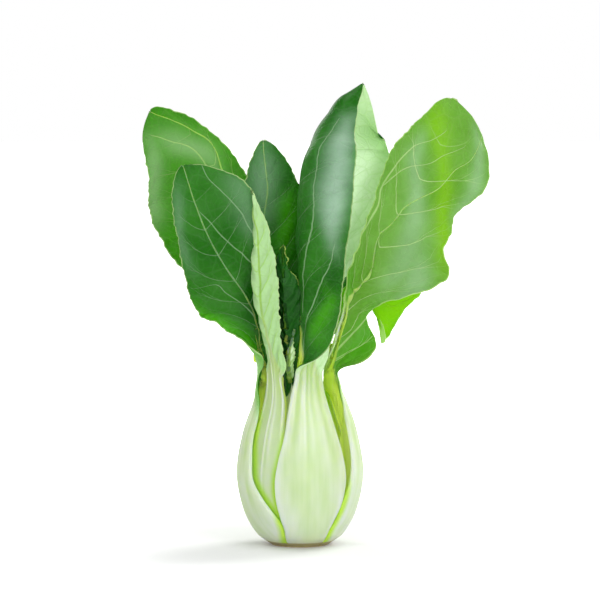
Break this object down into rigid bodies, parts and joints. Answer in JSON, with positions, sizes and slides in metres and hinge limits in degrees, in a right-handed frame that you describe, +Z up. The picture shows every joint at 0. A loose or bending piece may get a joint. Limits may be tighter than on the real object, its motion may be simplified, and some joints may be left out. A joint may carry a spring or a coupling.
{
  "type": "pak choi head",
  "caption": "Whole head of green-stemmed pak choi standing on its cut base, with fleshy stalks that overlap in a bulb and broad upright leaves.",
  "frame": {"origin": "centre of the flat cut face that the head stands on", "axes": "+Z up along the head from the cut face to the leaf tips, -Y the front, +X its right-hand side seen from the front"},
  "size_m": [0.152, 0.0779, 0.1995],
  "materials": {
    "cut_stem": "dry fibrous cut face, tan to brown",
    "leaf": "waxy living leaf, whitish green stalk turning to a dark green blade with pale veins"
  },
  "bodies": {
    "root": {"cut_stem": "cut_stem", "front_leaf": "leaf", "right_leaf": "leaf", "left_leaf": "leaf", "rear_leaf": "leaf", "front_left_leaf": "leaf", "left_rear_leaf": "leaf", "right_rear_leaf": "leaf", "inner_front_leaf": "leaf", "centre_rear_leaf": "leaf", "heart_leaf_front": "leaf", "heart_leaf_right": "leaf", "heart_leaf_left": "leaf"}
  },
  "joints": []
}
